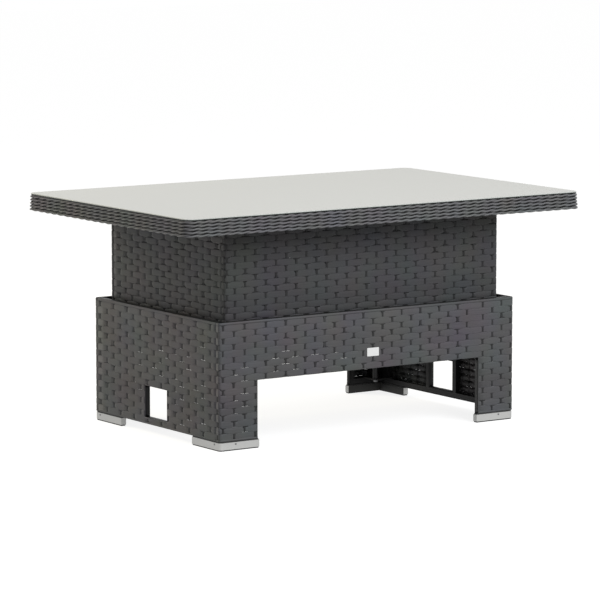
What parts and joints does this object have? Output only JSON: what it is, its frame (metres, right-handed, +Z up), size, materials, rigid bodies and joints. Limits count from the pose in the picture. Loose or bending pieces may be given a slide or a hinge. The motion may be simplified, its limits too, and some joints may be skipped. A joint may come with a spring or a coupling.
{
  "type": "riser table",
  "caption": "Lift-top garden table: a glass top on a woven box that slides in a woven casing on metal feet, held by gas springs that two levers under the top release.",
  "frame": {"origin": "on the floor, under the middle of the table", "axes": "+Z up, X along the table's length, -Y towards its front with the plate"},
  "size_m": [1.4, 0.9, 0.69],
  "materials": {
    "casing_weave": "flat polyethylene strand weave, low sheen",
    "box_weave": "flat polyethylene strand weave, low sheen",
    "rim_weave": "round polyethylene strand braid, low sheen",
    "glass": "tempered glass, pale back coat, smooth",
    "frame_tube": "dark powder coat",
    "foot_metal": "satin anodised",
    "foot_block": "black moulded",
    "bracket_steel": "dark powder coat",
    "cylinder_steel": "black gloss paint",
    "rod_steel": "hard chromed, polished",
    "lever_steel": "dark powder coat",
    "fastener": "zinc plated",
    "nylon": "black nylon",
    "grip": "black moulded, fine texture",
    "pad": "clear soft pad",
    "badge": "bare satin plate"
  },
  "bodies": {
    "casing": {"base_frame": "frame_tube", "foot_screws": "fastener", "bracket_screws": "fastener", "spring_nuts": "fastener", "casing_glides": "nylon", "badge_plate": "badge", "base_weave_front": "casing_weave", "base_weave_back": "casing_weave", "base_weave_left": "casing_weave", "base_weave_right": "casing_weave", "foot_band_front_left": "foot_metal", "foot_block_front_left": "foot_block", "spring_bracket_front_left": "bracket_steel", "spring_cylinder_front_left": "cylinder_steel", "foot_band_front_right": "foot_metal", "foot_block_front_right": "foot_block", "spring_bracket_front_right": "bracket_steel", "spring_cylinder_front_right": "cylinder_steel", "foot_band_back_left": "foot_metal", "foot_block_back_left": "foot_block", "spring_bracket_back_left": "bracket_steel", "spring_cylinder_back_left": "cylinder_steel", "foot_band_back_right": "foot_metal", "foot_block_back_right": "foot_block", "spring_bracket_back_right": "bracket_steel", "spring_cylinder_back_right": "cylinder_steel"},
    "lift": {"box_frame": "frame_tube", "table_frame": "frame_tube", "glass_top": "glass", "glass_pads": "pad", "rim_weave": "rim_weave", "rod_nuts": "fastener", "frame_bolts": "fastener", "lever_screws": "fastener", "box_glides": "nylon", "box_weave_front": "box_weave", "box_weave_back": "box_weave", "box_weave_left": "box_weave", "box_weave_right": "box_weave", "spring_rod_front_left": "rod_steel", "spring_rod_front_right": "rod_steel", "spring_rod_back_left": "rod_steel", "spring_rod_back_right": "rod_steel", "lever_bracket_left": "bracket_steel", "lever_pin_left": "fastener", "lever_bracket_right": "bracket_steel", "lever_pin_right": "fastener"},
    "lever_left": {"release_lever_left": "lever_steel", "lever_grip_left": "grip"},
    "lever_right": {"release_lever_right": "lever_steel", "lever_grip_right": "grip"},
    "pin_front_left": {"release_pin_front_left": "rod_steel"},
    "pin_front_right": {"release_pin_front_right": "rod_steel"},
    "pin_back_left": {"release_pin_back_left": "rod_steel"},
    "pin_back_right": {"release_pin_back_right": "rod_steel"}
  },
  "joints": [
    {"name": "lift", "type": "slide", "parent": "casing", "child": "lift", "axis": [0, 0, 1], "range_m": [-0.225, 0]},
    {"name": "lever_left", "type": "hinge", "parent": "lift", "child": "lever_left", "pos_m": [-0.497, 0, 0.646], "axis": [0, 1, 0], "range_deg": [0, 7.5]},
    {"name": "lever_right", "type": "hinge", "parent": "lift", "child": "lever_right", "pos_m": [0.497, 0, 0.646], "axis": [0, -1, 0], "range_deg": [0, 7.5]},
    {"name": "pin_front_left", "type": "slide", "parent": "lift", "child": "pin_front_left", "axis": [0, 0, -1], "range_m": [0, 0.0057], "stiffness_N_per_m": 600, "springref_m": -0.003},
    {"name": "pin_front_right", "type": "slide", "parent": "lift", "child": "pin_front_right", "axis": [0, 0, -1], "range_m": [0, 0.0057], "stiffness_N_per_m": 600, "springref_m": -0.003},
    {"name": "pin_back_left", "type": "slide", "parent": "lift", "child": "pin_back_left", "axis": [0, 0, -1], "range_m": [0, 0.0057], "stiffness_N_per_m": 600, "springref_m": -0.003},
    {"name": "pin_back_right", "type": "slide", "parent": "lift", "child": "pin_back_right", "axis": [0, 0, -1], "range_m": [0, 0.0057], "stiffness_N_per_m": 600, "springref_m": -0.003}
  ],
  "couplings": [
    {"joint": "pin_front_left", "follows": "lever_left", "m_per_rad": 0.042},
    {"joint": "pin_front_right", "follows": "lever_right", "m_per_rad": 0.042},
    {"joint": "pin_back_left", "follows": "lever_left", "m_per_rad": 0.042},
    {"joint": "pin_back_right", "follows": "lever_right", "m_per_rad": 0.042}
  ]
}
